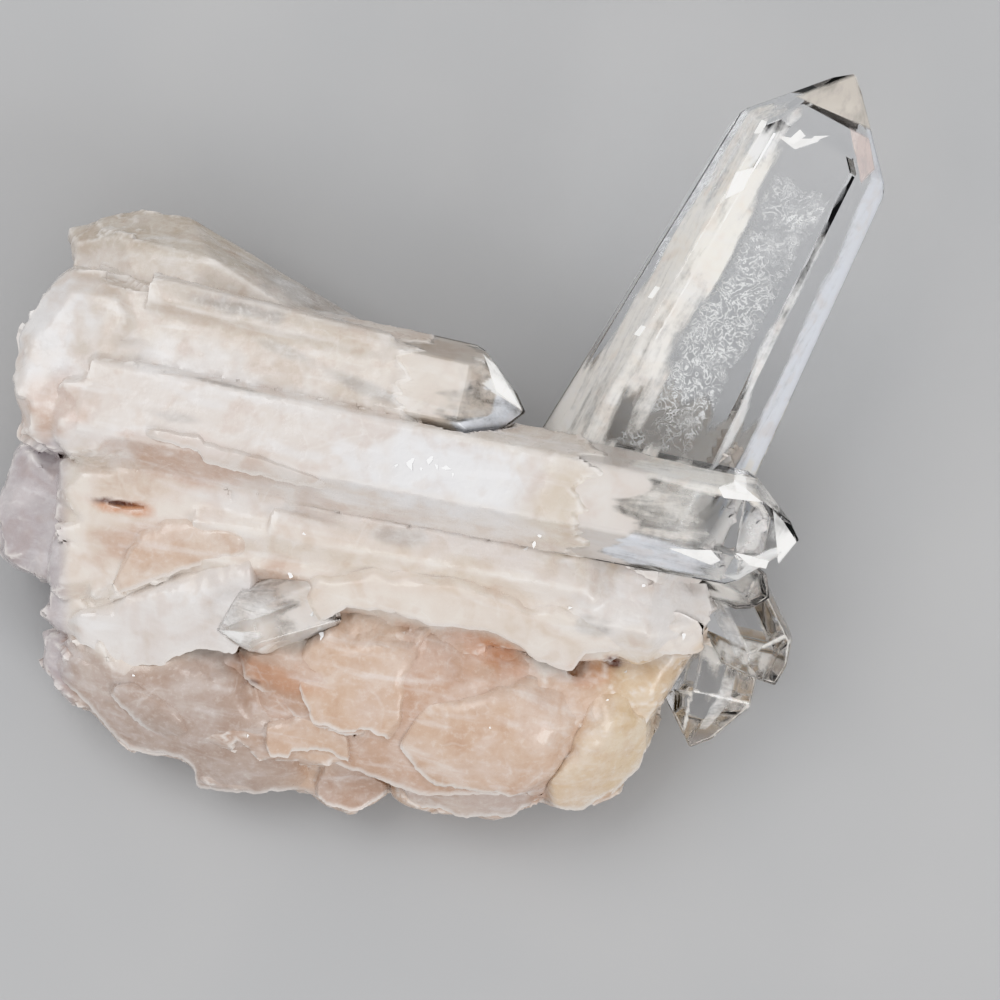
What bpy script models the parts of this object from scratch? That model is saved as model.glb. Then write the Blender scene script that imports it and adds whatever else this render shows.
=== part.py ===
"""A quartz crystal cluster lying on its broken side, one solid grown together.

Six-sided points lean out of a stepped, broken mass. +Z is up and the origin sits at table height in the
middle of the footprint. All lengths are in millimetres until meshes are made.
"""

import itertools
import math
import random

import bmesh
import bpy
import numpy as np
from mathutils import Vector
from mathutils.geometry import delaunay_2d_cdt

MM = 0.001

# Driving dimensions.
CROWN_LEAN = 38.2  # degrees between a crown face and the long axis of a quartz point
MINOR_SETBACK = 0.7  # how much further out the three smaller crown faces lie
CHIP_STEP = 2.2  # usual length of one broken chip along a lump's rim
CHIP_DEPTH = 0.4  # how far chips stand out of the rim
GRAIN = 2.6  # usual distance between the broken facets' corners on a lump's top
TABLE_SIZE = 200.0
SEED = 7

SIDE_JITTER = 0.02  # share of a lump's width by which its side facets' corners wander

# Rings of a lump's side from foot to shoulder: (share of the outline's width, share of the height)
SIDE_RINGS = ((0.86, 0.0), (0.97, 0.2), (1.0, 0.42), (0.985, 0.66), (0.95, 0.88))

# Crystal points: (root, apex, distance to the top prism face, distance to the other faces, turn, taper)
POINTS = {
    "tall_point": ((16.9, -8.9, 14.5), (41.3, 37.3, 24.0), 5.6, 7.3, 3, 3.2),
    "long_point": ((-34.4, 5.2, 19.0), (35.9, -8.8, 24.5), 4.6, 5.0, 4, 0.6),
    "upper_point": ((-34.6, 13.1, 16.5), (9.0, 3.8, 22.0), 4.6, 4.9, 6, 0.8),
    "ridge_point": ((-30.9, -7.1, 13.5), (27.6, -17.0, 17.5), 5.0, 5.4, 14, 0.8),
    "step_point": ((-23.6, -6.1, 16.5), (20.3, -14.0, 19.5), 4.0, 4.2, 22, 0.6),
    "chip_point": ((-10.7, -13.9, 15.5), (-21.0, -18.6, 20.0), 2.5, 3.0, 10, 1.5),
    "twin_point": ((27.8, -10.9, 12.0), (34.2, -23.6, 12.5), 3.2, 3.6, 20, 1.5),
    "low_point": ((28.4, -17.9, 8.5), (25.7, -30.0, 9.0), 4.4, 5.1, 25, 1.5),
    "side_point": ((25.4, -10.9, 16.5), (33.5, -14.7, 15.0), 2.0, 2.2, 10, 1.0),
    "ledge_splinter": ((-30.6, 2.7, 19.3), (-12.8, -2.8, 22.3), 1.1, 1.2, 0, 0.5),
    "crest_splinter": ((-28.3, 15.8, 21.5), (-3.3, 9.8, 23.6), 1.3, 1.5, 12, 0.8),
    "seam_splinter": ((-16.4, -7.0, 20.8), (16.3, -14.9, 20.4), 1.2, 1.3, 8, 0.5),
    "flank_splinter": ((-10.4, -1.1, 21.8), (12.3, -6.8, 23.4), 1.6, 1.8, 0, 0.5),
}

# Broken lumps: (rim at its widest, foot height, top height, slope of the top along X and Y, roughness)
LUMPS = {
    "core": (
        [(-37.6, 12.5), (-32.5, 17.1), (-19.2, 15.6), (-3.8, 10.5), (6.4, 3.3), (16.6, 0.3),
         (25.8, -6.9), (26.9, -15.1), (21.7, -25.3), (16.6, -31.4), (6.4, -34), (-3.8, -32.5),
         (-19.2, -32), (-31.4, -27.4), (-37.6, -21.2), (-40.1, -11), (-39.6, 0.3)],
        -3, 16, 0.0, 0.08, 0.3,
    ),
    "left_end": (
        [(-36.2, 18.5), (-37.9, 17.3), (-39.4, 15.8), (-40.1, 14.5), (-40.6, 13.8), (-40.3, 13.2),
         (-41.1, 12.5), (-41.7, 11.4), (-41.4, 10), (-42.2, 8.5), (-41.9, 7.7), (-41.7, 5.2),
         (-41.2, 3.7), (-41, 2.7), (-41.4, 1.2), (-37.9, -0.6), (-31.8, 0.6), (-28.8, 5.2),
         (-27.8, 11.2), (-28.8, 15.3), (-32, 17.9)],
        7, 22.6, 0.05, -0.08, 0.25,
    ),
    "root_lump": (
        [(-37.8, 5.9), (-38.4, 3.3), (-38, 0.9), (-36.4, -0.7), (-33.2, -0.5), (-30.8, 1.1),
         (-30.2, 3.9), (-31.4, 6.7), (-34, 8.1), (-36.4, 7.7)],
        12, 24.3, 0.03, -0.02, 0.2,
    ),
    "left_lump": (
        [(-41.9, 1.2), (-42.9, 0), (-43.6, -2.8), (-44.2, -4.8), (-44.4, -6.9), (-44, -9.4),
         (-44.1, -10.4), (-42.9, -11.7), (-40.8, -12.7), (-39.5, -13.2), (-36.3, -12), (-34.2, -5.9),
         (-35.8, -0.8), (-39.3, 0.7)],
        4, 15, 0.3, 0.05, 0.35,
    ),
    "left_face": (
        [(-38.1, -0.3), (-31, 1.2), (-13.8, -1.8), (-7.7, -8.9), (-18.4, -11.1), (-25.9, -13.1),
         (-33, -15.4), (-37.9, -15), (-39.3, -13.1), (-38.9, -8.9), (-38.1, -4.8)],
        5, 20, 0.08, 0.15, 0.15,
    ),
    "white_ridge": (
        [(-39, -14), (-39.1, -15.5), (-39.9, -16.2), (-39.2, -17), (-38.7, -17.8), (-36.6, -19.2),
         (-34.1, -20.6), (-31.1, -21.9), (-28, -21.9), (-24, -20.2), (-19.9, -20), (-17.1, -16),
         (-18.1, -9.9), (-26, -11.9), (-35.6, -14.2)],
        6, 16.5, 0.1, 0.4, 0.2,
    ),
    "left_ledge": (
        [(-40.4, -17.9), (-40.5, -20), (-40.9, -21.2), (-40.1, -22.2), (-39.1, -22.9), (-38.1, -24.6),
         (-36.6, -25.9), (-34.5, -27.6), (-31.4, -30.4), (-29.4, -30.9), (-26.5, -31.2), (-25.1, -32.3),
         (-24.3, -34.3), (-22.2, -34.5), (-20.2, -34.9), (-14.1, -34.5), (-12.7, -34.5), (-11.5, -35.8),
         (-10.5, -36.1), (-8.9, -36.7), (-6.9, -36.1), (-5.6, -35), (-4.6, -34.4), (-2.8, -30.4),
         (-5.4, -25.3), (-14.1, -20.2), (-24.3, -18.1), (-34.5, -17.1)],
        2, 10, 0.0, 0.25, 0.6,
    ),
    "left_step": (
        [(-38.7, -18.7), (-37.1, -22.3), (-34.8, -25.1), (-30.2, -25.4), (-27.7, -27), (-25.1, -29.5),
         (-22.6, -30.1), (-17.8, -31.7), (-12.9, -31.5), (-8.6, -30.1), (-7.3, -26.2), (-13.9, -21.1),
         (-29.2, -18.1)],
        5, 13, 0.0, 0.3, 0.6,
    ),
    "left_shelf": (
        [(-37.6, -18.6), (-34.6, -22.3), (-30.9, -23.5), (-26.4, -24.1), (-23.5, -26.3), (-19.4, -27.3),
         (-14.9, -26.7), (-13.9, -21.1), (-29, -18)],
        7, 15, 0.0, 0.3, 0.5,
    ),
    "middle_step": (
        [(-18.7, -28.2), (-14.3, -26.7), (-9, -27.8), (-8.2, -30.4), (-10.8, -31.6), (-14.9, -31.4),
         (-18.3, -32)],
        7, 14, 0.0, 0.1, 0.4,
    ),
    "rose_lump": (
        [(-20, -20.1), (-19.5, -22.3), (-17.8, -24.1), (-13.9, -27.2), (-10.9, -28.4), (-5.3, -30),
         (-3.8, -30.2), (-2.7, -31.8), (0.3, -33.8), (4.4, -34.5), (9.4, -34.8), (13.5, -32.3),
         (15.5, -25.2), (12.5, -21.1), (8.4, -19.1), (1.3, -17), (-5.8, -15.6), (-10.9, -16.2),
         (-14.9, -19.1)],
        4, 16, 0.0, 0.25, 0.45,
    ),
    "rose_crest": (
        [(-15, -21.8), (-13.3, -25), (-12.3, -27.3), (-9.7, -28.3), (-8.2, -28.1), (-4.2, -28.9),
         (-3.2, -27.1), (-3.7, -25.5), (0.3, -25), (3.4, -22.2), (1.9, -19), (-3.7, -16.6), (-9.7, -17),
         (-13.8, -19.5)],
        8, 17.6, 0.06, 0.1, 0.4,
    ),
    "rose_middle": (
        [(-2.9, -29.4), (-2.2, -31.4), (0.9, -32.8), (6.4, -33.2), (11, -32.4), (15, -29.1),
         (16.5, -24.1), (12.5, -20.5), (4.4, -20), (0.8, -24.1)],
        6, 16.6, -0.05, 0.2, 0.45,
    ),
    "apron": (
        [(-4.6, -34.4), (-3.8, -35.2), (-2.3, -36.1), (0.3, -36.4), (1.8, -36.6), (3.3, -37.3),
         (5.4, -37.3), (7.6, -37.1), (8.4, -36.1), (10, -36), (10.7, -35.6), (11.5, -36.2),
         (13.6, -36.6), (15.6, -36.3), (16.3, -35.5), (18.2, -35.2), (19.4, -33.5), (19.6, -32.4),
         (20.7, -32.4), (20.9, -31.6), (20.4, -30.6), (20.3, -29.4), (21.7, -28.9), (22.8, -25.3),
         (23.3, -21.2), (20.7, -18.1), (15.6, -19.2), (11, -21.2), (4.4, -24.3), (-1.8, -28.4)],
        2, 11, 0.0, 0.25, 0.6,
    ),
    "cream_lump": (
        [(15, -20.6), (22.1, -19.5), (26.7, -19), (25.7, -20.6), (22.8, -25.1), (20.6, -28.7),
         (16.5, -31.4), (12.5, -33.4), (8.4, -33), (10.5, -29.2), (12.5, -25.1), (11.5, -22.6)],
        6, 15.5, 0.0, 0.25, 0.5,
    ),
    "right_rim": (
        [(12.5, -12.9), (20.5, -11.9), (27.1, -13.4), (28.1, -15.7), (27.3, -16.4), (27.1, -18),
         (25.6, -20.2), (21.5, -20.7), (15.5, -20.5), (11.4, -19)],
        8, 18.5, 0.0, 0.25, 0.4,
    ),
}

# Convex blocks, by their corners.
BLOCKS = {
    "back_point":
        [(-37.3, 22.7, 11), (-33.6, 23.6, 11), (-30, 24.5, 12), (-24.8, 23.7, 13), (-7.2, 13.1, 14),
         (-9, 10.5, 20.5), (-22.4, 19.2, 20.5), (-31.6, 21.5, 17.5), (-36.2, 21, 14.5),
         (-36.1, 17.8, 14.5), (-28.4, 12, 20.5), (-37.4, 20.6, 8), (-32.4, 23.2, 6.5),
         (-24.2, 21.7, 6.5), (-9.9, 12.5, 8), (-14, 7.4, 6)],
}

# Narrow pits: (one end, other end, height of the surface, half width, depth)
PITS = {
    "iron_slit": ((-34.3, -4.8), (-27.7, -5.8), 20.8, 0.55, 2.2),
    "ledge_pit": ((-19.5, -23.1), (-17.9, -23.3), 15.5, 0.4, 2.5),
    "end_pit": ((-37.4, -8.9), (-36.0, -8.8), 17.5, 0.35, 1.5),
    "brown_pit": ((16.8, -21.0), (19.2, -21.3), 18.0, 0.5, 3.0),
}


def plane_corners(normals, distances):
    """Corners of the convex solid that lies behind all these planes."""
    corners = []
    for three in itertools.combinations(range(len(normals)), 3):
        rows = normals[list(three)]
        if abs(np.linalg.det(rows)) < 1e-6:
            continue
        corner = np.linalg.solve(rows, distances[list(three)])
        if (normals @ corner <= distances + 1e-6).all():
            corners.append(corner)
    return corners


def finish(name, mesh):
    bmesh.ops.recalc_face_normals(mesh, faces=mesh.faces)
    data = bpy.data.meshes.new(name)
    mesh.to_mesh(data)
    mesh.free()
    made = bpy.data.objects.new(name, data)
    bpy.context.scene.collection.objects.link(made)
    return made


def convex_solid(name, corners):
    mesh = bmesh.new()
    for corner in corners:
        mesh.verts.new(Vector(corner) * MM)
    bmesh.ops.remove_doubles(mesh, verts=mesh.verts, dist=0.02 * MM)
    bmesh.ops.convex_hull(mesh, input=mesh.verts)
    inside = [vertex for vertex in mesh.verts if not vertex.link_faces]
    bmesh.ops.delete(mesh, geom=inside, context="VERTS")
    bmesh.ops.dissolve_limit(mesh, angle_limit=math.radians(0.5), verts=mesh.verts, edges=mesh.edges)
    return finish(name, mesh)


def crystal(name, root, apex, top_reach, reach, turn, taper):
    """A quartz point: six prism faces that spread towards the root, three large crown faces, three small."""
    root, apex = np.array(root, float), np.array(apex, float)
    along = (apex - root) / np.linalg.norm(apex - root)
    side = np.cross(along, (0, 0, 1))
    side /= np.linalg.norm(side)
    up = np.cross(side, along)
    lean, tip = math.radians(taper), math.radians(CROWN_LEAN)
    shoulder = apex - along * reach / math.tan(tip)
    normals, distances = [-along], [-along @ root]
    for face in range(6):
        angle = math.radians(90 + turn + 60 * face)
        out = math.cos(angle) * side + math.sin(angle) * up
        prism = math.cos(lean) * out + math.sin(lean) * along
        crown = math.cos(tip) * out + math.sin(tip) * along
        far = reach if face else top_reach
        normals += [prism, crown]
        distances += [prism @ (shoulder + far * out), crown @ apex + (MINOR_SETBACK if face % 2 else 0)]
    return convex_solid(name, plane_corners(np.array(normals), np.array(distances)))


def chipped(outline, dice):
    """The rim with every long stretch broken into short chips that stand in or out a little."""
    rim = []
    for here, there in zip(outline, np.roll(outline, -1, axis=0)):
        run = there - here
        count = max(1, round(float(np.linalg.norm(run)) / CHIP_STEP))
        for chip in range(count):
            out = np.array((run[1], -run[0])) / np.linalg.norm(run)
            depth = dice.uniform(-0.3, 1) * CHIP_DEPTH if chip else 0
            rim.append(here + run * chip / count + out * depth)
    return np.array(rim)


def scattered(ring, dice):
    """Loosely spaced spots inside a ring, on a staggered grid with every spot moved a little."""
    (left, front), (right, back) = ring.min(0), ring.max(0)
    spots = []
    for row in range(int((back - front) / GRAIN) + 1):
        for column in range(int((right - left) / GRAIN) + 1):
            across = left + GRAIN * (column + row % 2 / 2 + dice.uniform(-0.3, 0.3))
            spots.append((across, front + GRAIN * (row + dice.uniform(-0.3, 0.3))))
    return spots


def top_facets(mesh, shoulder, spots, height_at):
    """Close a lump's shoulder ring with triangles over the spots inside it."""
    flat = [vertex.co.xy / MM for vertex in shoulder] + [Vector(spot) for spot in spots]
    loop = list(range(len(shoulder)))
    places, _, triangles, sources, _, _ = delaunay_2d_cdt(flat, [], [loop], 1, 1e-4)
    corners = []
    for place, source in zip(places, sources):
        rim = [index for index in source if index < len(shoulder)]
        high = Vector((place.x, place.y, height_at(place))) * MM
        corners.append(shoulder[rim[0]] if rim else mesh.verts.new(high))
    for triangle in triangles:
        mesh.faces.new([corners[index] for index in triangle])


def lump(name, outline, low, high, slope_x, slope_y, rough):
    """A broken block: chipped sides between a foot and a shoulder, and a sloping top of loose facets."""
    dice = random.Random(name + str(SEED))
    outline = np.array(outline, float)
    middle = outline.mean(0)
    rim = chipped(outline, dice)

    def height_at(place, level=1.0):
        slope = (np.array(place) - middle) @ (slope_x, slope_y)
        return low + (high + slope - low) * level + dice.uniform(-rough, rough) * level

    mesh = bmesh.new()
    rings = []
    for share, level in SIDE_RINGS:
        wander = np.array([dice.uniform(-1, 1) for _ in rim]) * SIDE_JITTER
        ring = middle + (rim - middle) * (share + wander)[:, None]
        rings.append([mesh.verts.new(Vector((*spot, height_at(spot, level))) * MM) for spot in ring])
    for lower, upper in itertools.pairwise(rings):
        for index in range(len(rim)):
            after = (index + 1) % len(rim)
            mesh.faces.new((lower[index], lower[after], upper[after], upper[index]))
    mesh.faces.new(rings[0])
    top_facets(mesh, rings[-1], scattered(ring, dice), height_at)
    loose = [vertex for vertex in mesh.verts if not vertex.link_faces]
    bmesh.ops.delete(mesh, geom=loose, context="VERTS")
    bmesh.ops.triangulate(mesh, faces=mesh.faces)
    return finish(name, mesh)


def pit(name, one, other, height, half_width, depth):
    """A narrow wedge-shaped hollow, widest in its middle."""
    one, other = np.array(one), np.array(other)
    run = (other - one) / np.linalg.norm(other - one)
    beside = np.array((-run[1], run[0])) * half_width
    middle = (one + other) / 2
    rim = [one, middle + beside, other, middle - beside]
    corners = [(*spot, height + depth) for spot in rim]
    corners += [(*spot, height) for spot in rim]
    corners.append((*middle, height - depth))
    return convex_solid(name, corners)


def table_cutter():
    bpy.ops.mesh.primitive_cube_add(size=TABLE_SIZE * MM, location=(0, 0, -TABLE_SIZE / 2 * MM))
    made = bpy.context.object
    made.name = "table_cutter"
    return made


def join(target, piece, operation):
    step = target.modifiers.new(piece.name, "BOOLEAN")
    step.operation = operation
    step.solver = "EXACT"
    step.object = piece
    piece.hide_render = True
    piece.display_type = "WIRE"


def quartz_material():
    made = bpy.data.materials.new("quartz")
    made.use_nodes = True
    shader = made.node_tree.nodes["Principled BSDF"]
    shader.inputs["Base Color"].default_value = (0.80, 0.72, 0.66, 1)
    shader.inputs["Roughness"].default_value = 0.18
    shader.inputs["Metallic"].default_value = 0.0
    shader.inputs["IOR"].default_value = 1.544
    return made


def main():
    for obj in list(bpy.data.objects):
        bpy.data.objects.remove(obj)
    pieces = [lump(name, *sizes) for name, sizes in LUMPS.items()]
    pieces += [crystal(name, *sizes) for name, sizes in POINTS.items()]
    pieces += [convex_solid(name, corners) for name, corners in BLOCKS.items()]
    cutters = [pit(name, *sizes) for name, sizes in PITS.items()] + [table_cutter()]
    cluster = pieces[0]
    for piece in pieces[1:]:
        join(cluster, piece, "UNION")
    for cutter in cutters:
        join(cluster, cutter, "DIFFERENCE")
    cluster.name = cluster.data.name = "quartz_cluster"
    cluster.data.materials.append(quartz_material())


main()
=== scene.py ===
"""Looks of a quartz cluster: clear points with milky veils, a milky body and a rose, iron-stained mass.

Lengths are in millimetres and become metres where a mesh is made. X runs right, Y away, Z up.
"""

import itertools
import math

import bmesh
import bpy
import numpy as np
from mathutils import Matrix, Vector


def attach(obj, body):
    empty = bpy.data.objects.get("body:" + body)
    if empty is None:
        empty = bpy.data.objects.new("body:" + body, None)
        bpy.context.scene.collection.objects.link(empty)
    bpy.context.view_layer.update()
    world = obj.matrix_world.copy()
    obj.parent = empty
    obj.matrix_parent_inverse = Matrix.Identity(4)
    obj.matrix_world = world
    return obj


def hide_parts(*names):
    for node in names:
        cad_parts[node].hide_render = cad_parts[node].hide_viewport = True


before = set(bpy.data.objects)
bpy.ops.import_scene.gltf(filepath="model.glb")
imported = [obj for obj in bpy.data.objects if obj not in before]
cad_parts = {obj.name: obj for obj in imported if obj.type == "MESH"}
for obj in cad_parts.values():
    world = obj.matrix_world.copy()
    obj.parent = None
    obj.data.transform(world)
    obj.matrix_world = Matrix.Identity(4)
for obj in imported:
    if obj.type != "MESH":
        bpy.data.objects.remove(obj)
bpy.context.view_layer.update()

MM = 0.001
NODE = "quartz_cluster"

# The eye: straight above, looking down on the cluster.
EYE_TARGET = (6.4, -4.85, 17.0)
EYE_DISTANCE = 500.0
LENS, SENSOR = 180.0, 36.0

# Crystal points: (root, apex, distance to the top prism face, distance to the other faces, turn, taper)
CROWN_LEAN = 38.2
MINOR_SETBACK = 0.7
POINTS = {
    "tall_point": ((16.8, -8.9, 14.5), (41.3, 37.2, 24.0), 5.6, 7.3, 3, 3.2),
    "long_point": ((-34.4, 5.2, 19.0), (35.9, -8.8, 24.5), 4.6, 5.0, 4, 0.6),
    "upper_point": ((-34.6, 13.1, 16.5), (9.0, 3.8, 22.0), 4.6, 4.9, 6, 0.8),
    "twin_point": ((27.8, -10.9, 12.0), (34.2, -23.6, 12.5), 3.2, 3.6, 20, 1.5),
    "low_point": ((28.4, -17.9, 8.5), (25.7, -30.0, 9.0), 4.4, 5.1, 25, 1.5),
    "side_point": ((25.4, -10.9, 16.5), (33.5, -14.7, 15.0), 2.0, 2.2, 10, 1.0),
    "nub_point": ((-10.8, -14.4, 17.4), (-21.8, -17.8, 21.2), 2.6, 3.0, 12, 2.0),
}
# Along each point's axis from its root: where its clear skin starts, and where the solid milk inside it stops
CLEAR_FROM = {"tall_point": 2.0, "long_point": 47.5, "upper_point": 30.5, "twin_point": 0.5,
              "low_point": 0.5, "side_point": 0.5, "nub_point": 0.0}
MILK_TO = {"tall_point": 7.0, "long_point": 53.0, "upper_point": 35.5, "twin_point": 2.5,
           "low_point": 2.0, "side_point": 1.5}
# The milk laps over the clear skin's start by this much, as far as ragged tongues of this length reach
LAP, LAP_TONGUE = 0.07, 2.8
# The seat of each clear crystal is cut a little wide, then its walls grow into it: no air lies between
SEAT_GAP = 0.04
SEAT_GROWTH = 0.22
EDGE_ROUND = 0.14
# Which way the tall and the long point lie in plan, in degrees from X
TALL_TURN, LONG_TURN = 62.0, -11.3
# How deep the milk lies under the clear skin, and how fast that grows along the axis
SKIN, SKIN_SLOPE = 0.35, 0.12

# How finely the milky body is netted: halvings of a box, and the body's share of that box
NET_DEPTH, NET_SCALE = 8, 0.75
# How wide the rose mass's facets are, great and small, and from which turn in degrees an edge stays sharp
BIG_FACET, SMALL_FACET, SHARP_TURN = 5.0, 2.0, 32

# Directions on the milky body: along it and across it, straight uphill, and those of its fine growth lines
ALONG, ACROSS, UPHILL = (0.98, -0.2, 0), (0.2, 0.98, 0), (0.21, 0.98, 0)
LINES_ALONG, LINES_ACROSS = (-0.98, 0.2, 0.05), (0.19, 0.97, 0.15)

# Lower rim of the milky body, left to right; the rose mass lies below it.
RIM_X = (
    -40, -38.1, -33.6, -30.6, -27.6, -23.6, -19.6, -14.6, -13.6, -10.6, -9.1, -5.6, -2.6, 1.4, 4.4, 8.4,
    10.9, 13.4, 17.4, 21.4, 25.4, 26.9, 27.5)
RIM_Y = (
    -16, -17.4, -20.4, -21.6, -21.6, -19.9, -19.6, -21.4, -19.9, -16.9, -15.7, -16.1, -16.9, -17.5, -18.1,
    -19.4, -22.1, -21.7, -20.1, -20.4, -19.9, -17.9, -16.5)

# Tints, as shown by plain daylight
MILK_WHITE = (0.72, 0.66, 0.615)
COOL_WHITE = (0.79, 0.785, 0.79)
LILAC_GREY = (0.50, 0.45, 0.47)
ROSE = (0.55, 0.355, 0.255)
PALE_ROSE = (0.65, 0.475, 0.36)
DUSKY_ROSE = (0.45, 0.31, 0.25)
GREY_ROSE = (0.48, 0.375, 0.32)
CREAM = (0.73, 0.585, 0.40)
BEIGE_MILK = (0.69, 0.61, 0.51)
RUST = (0.60, 0.31, 0.18)
DARK_RUST = (0.11, 0.025, 0.01)
BACK_GREY = (0.51, 0.44, 0.355)
UPPER_MILK = (0.60, 0.525, 0.45)
RIDGE_MILK = (0.77, 0.69, 0.61)
SMOKE = (0.38, 0.355, 0.33)
# Painted highlight: the pale white laid on the body's thin convex edges and on the plates' lower rims
RIM_HIGHLIGHT = (0.90, 0.86, 0.82)
PALE_LENS = (0.76, 0.74, 0.735)
# Clear quartz: its index of refraction, how strongly it absorbs light per metre, and the tint it lets through
QUARTZ_IOR, ABSORPTION, PASSED_TINT = 1.544, 12.0, (0.93, 0.94, 0.96, 1)

# Zones of tint in the milk: (x, y, half length, half width, turn in degrees, strength)
COOL_ZONES = (
    (2, -2, 12, 5, -12, 0.95), (-38, 13, 5, 6, 0, 0.85), (20, -16, 8, 3, -10, 0.6),
    (-24, 9, 9, 2.5, -12, 0.6))
BEIGE_ZONES = (
    (14, -6, 6, 6, -12, 0.85), (-10, 10.5, 14, 2.2, -14, 0.55), (-33, -4, 7, 4, 0, 0.6),
    (-2, -12, 12, 2.5, -8, 0.6), (5, 1.5, 9, 1.2, -12, 0.5))
ROSY_ZONES = (
    (-24.5, -1, 9, 2.4, -12, 0.65), (-38, 4.2, 3.6, 3, 30, 0.6), (-30, -3, 5, 3, 0, 0.3),
    (-16, -13.4, 4, 2.5, 0, 0.5), (-5, -13, 6, 1.2, -6, 0.35), (-29, -9, 6, 2.5, 10, 0.65))
# Stains and cloudy windows: (x, y, half length, half width, turn in degrees, strength)
RUST_STAINS = (
    (4.8, -19.6, 4.2, 1.5, -18, 0.85), (7.2, -21.2, 2.6, 1.2, -25, 0.65), (15.4, -22.1, 2.2, 1.8, 20, 0.6),
    (-30.7, -5.7, 3.3, 0.75, -7, 1), (-16, -22.5, 5, 1.2, -20, 0.5))
DARK_STAINS = (
    (17.9, -21.1, 1.2, 0.6, -8, 1), (-31.9, -5.05, 2.6, 0.26, -9, 1),
    # The last dark spot lies on a small pit at the left lump and darkens it
    (-18.6, -23.1, 0.9, 0.35, -10, 0.8), (-36.7, -9, 0.45, 0.3, 0, 0.6))
SMOKE_PATCHES = (
    (-19, 14, 5.5, 0.9, -13, 0.8), (-14.8, 9.9, 3.6, 0.6, -20, 0.5), (-6.6, 6.1, 5.6, 0.9, -24, 0.7),
    (2.6, 5.4, 2.8, 1, -22, 0.8), (0.4, 8, 2.6, 0.5, -16, 0.5), (-13, 15.6, 7, 1.6, -28, 0.7),
    (-19.6, 6.2, 5.6, 0.22, -14, 0.8), (-3.5, -8.6, 3, 1, -8, 0.45), (-11.4, 16, 5, 0.9, -24, 0.6),
    (15.6, -17.4, 1.6, 1, -10, 0.55), (-26, 3.4, 2.4, 0.5, -10, 0.4))

# The eye sees a square of 100 mm at EYE_TARGET. A seen place is mm right of and below its upper left corner.
HALF_VIEW = 50
# A broken plate's thickness, how deep its upper edge is sunk, and how far that is tucked under the next one
PLATE_THICKNESS, SUNK, TUCK = 1.2, 1.2, 1.6
# How ragged a plate's rim is, how much of its own tint it takes, and how near its places may lie to be joined
RAGGED, OWN_TINT, PLATE_JOIN = 0.16, 0.65, 0.06
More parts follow.
